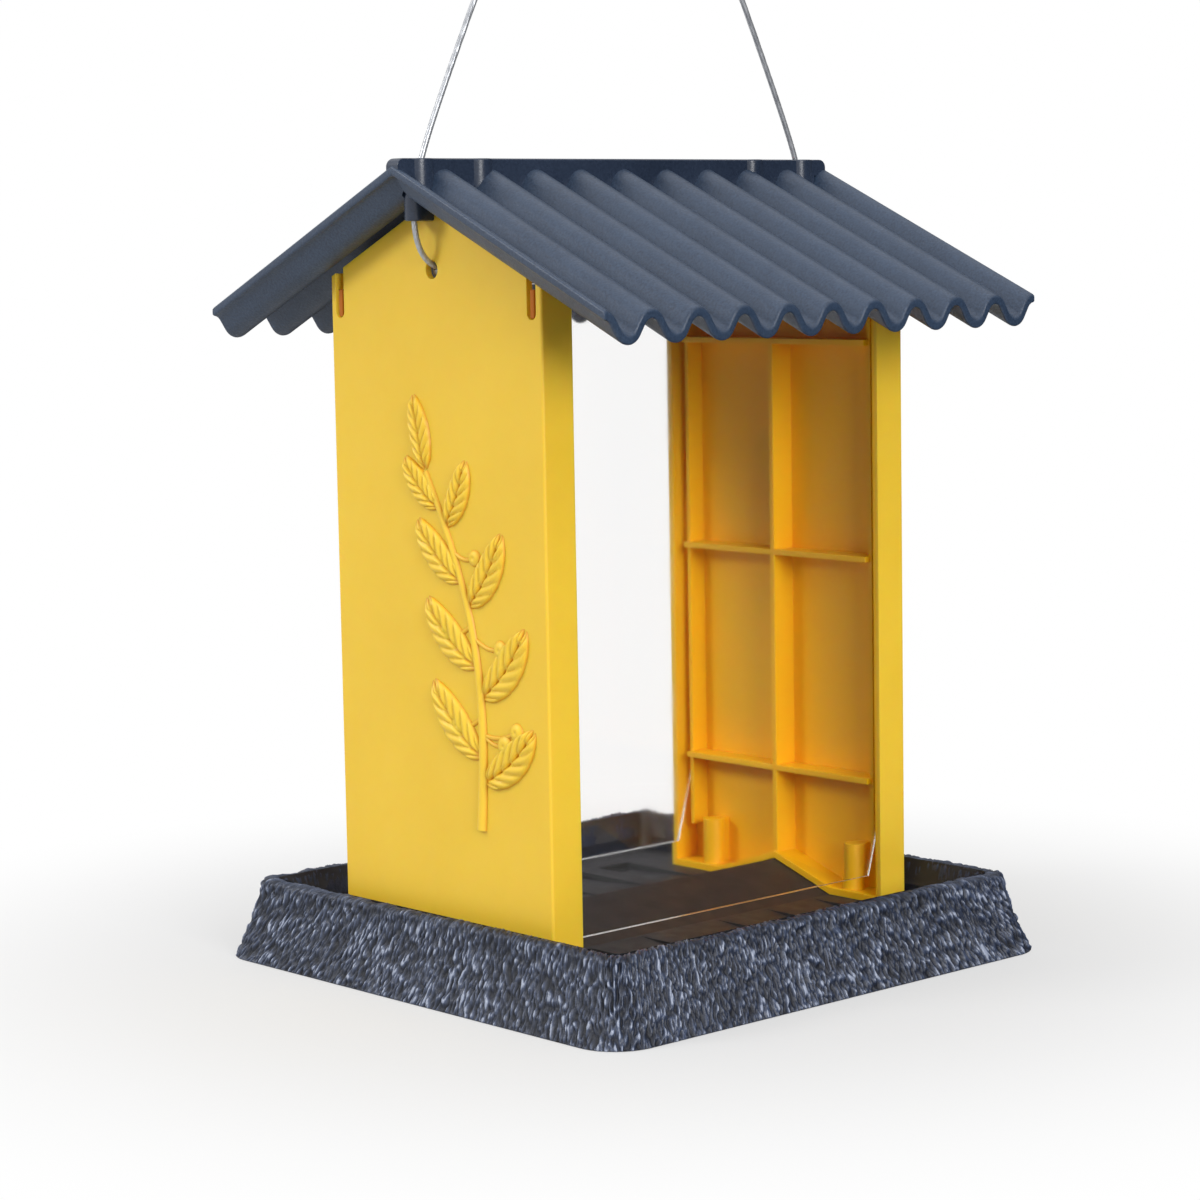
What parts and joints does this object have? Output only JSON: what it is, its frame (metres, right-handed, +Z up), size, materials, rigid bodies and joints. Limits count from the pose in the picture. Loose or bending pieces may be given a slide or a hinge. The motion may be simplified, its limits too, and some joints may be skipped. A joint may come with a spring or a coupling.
{
  "type": "hopper bird feeder",
  "caption": "Hanging hopper bird feeder with a corrugated gable roof that slides up its cable, clear side windows, yellow end walls and a rough slate-coloured seed tray.",
  "frame": {"origin": "middle of the tray's base, on the surface that the feeder stands on", "axes": "+Z up, X along the roof ridge, the front window faces -Y"},
  "size_m": [0.2096, 0.2096, 0.392],
  "materials": {
    "tray_slate": "rough, dry-brushed",
    "wall_yellow": "satin",
    "window_clear": "clear, polished",
    "roof_slate": "fine texture",
    "cable_steel": "stranded, clear coated",
    "screw_zinc": "zinc plated"
  },
  "bodies": {
    "feeder_body": {"tray": "tray_slate", "left_end_wall": "wall_yellow", "right_end_wall": "wall_yellow", "hanger_cable": "cable_steel", "left_cable_stop": "cable_steel", "right_cable_stop": "cable_steel", "tray_screw_1": "screw_zinc", "tray_screw_2": "screw_zinc", "tray_screw_3": "screw_zinc", "tray_screw_4": "screw_zinc"},
    "roof": {"roof": "roof_slate"},
    "front_window": {"front_window": "window_clear"},
    "rear_window": {"rear_window": "window_clear"}
  },
  "joints": [
    {"name": "roof_lift", "type": "slide", "parent": "feeder_body", "child": "roof", "axis": [0, 0, 1], "range_m": [0, 0.045]},
    {"name": "front_window_lift", "type": "slide", "parent": "feeder_body", "child": "front_window", "axis": [0, 0, 1], "range_m": [0, 0.0055]},
    {"name": "rear_window_lift", "type": "slide", "parent": "feeder_body", "child": "rear_window", "axis": [0, 0, 1], "range_m": [0, 0.0055]}
  ]
}
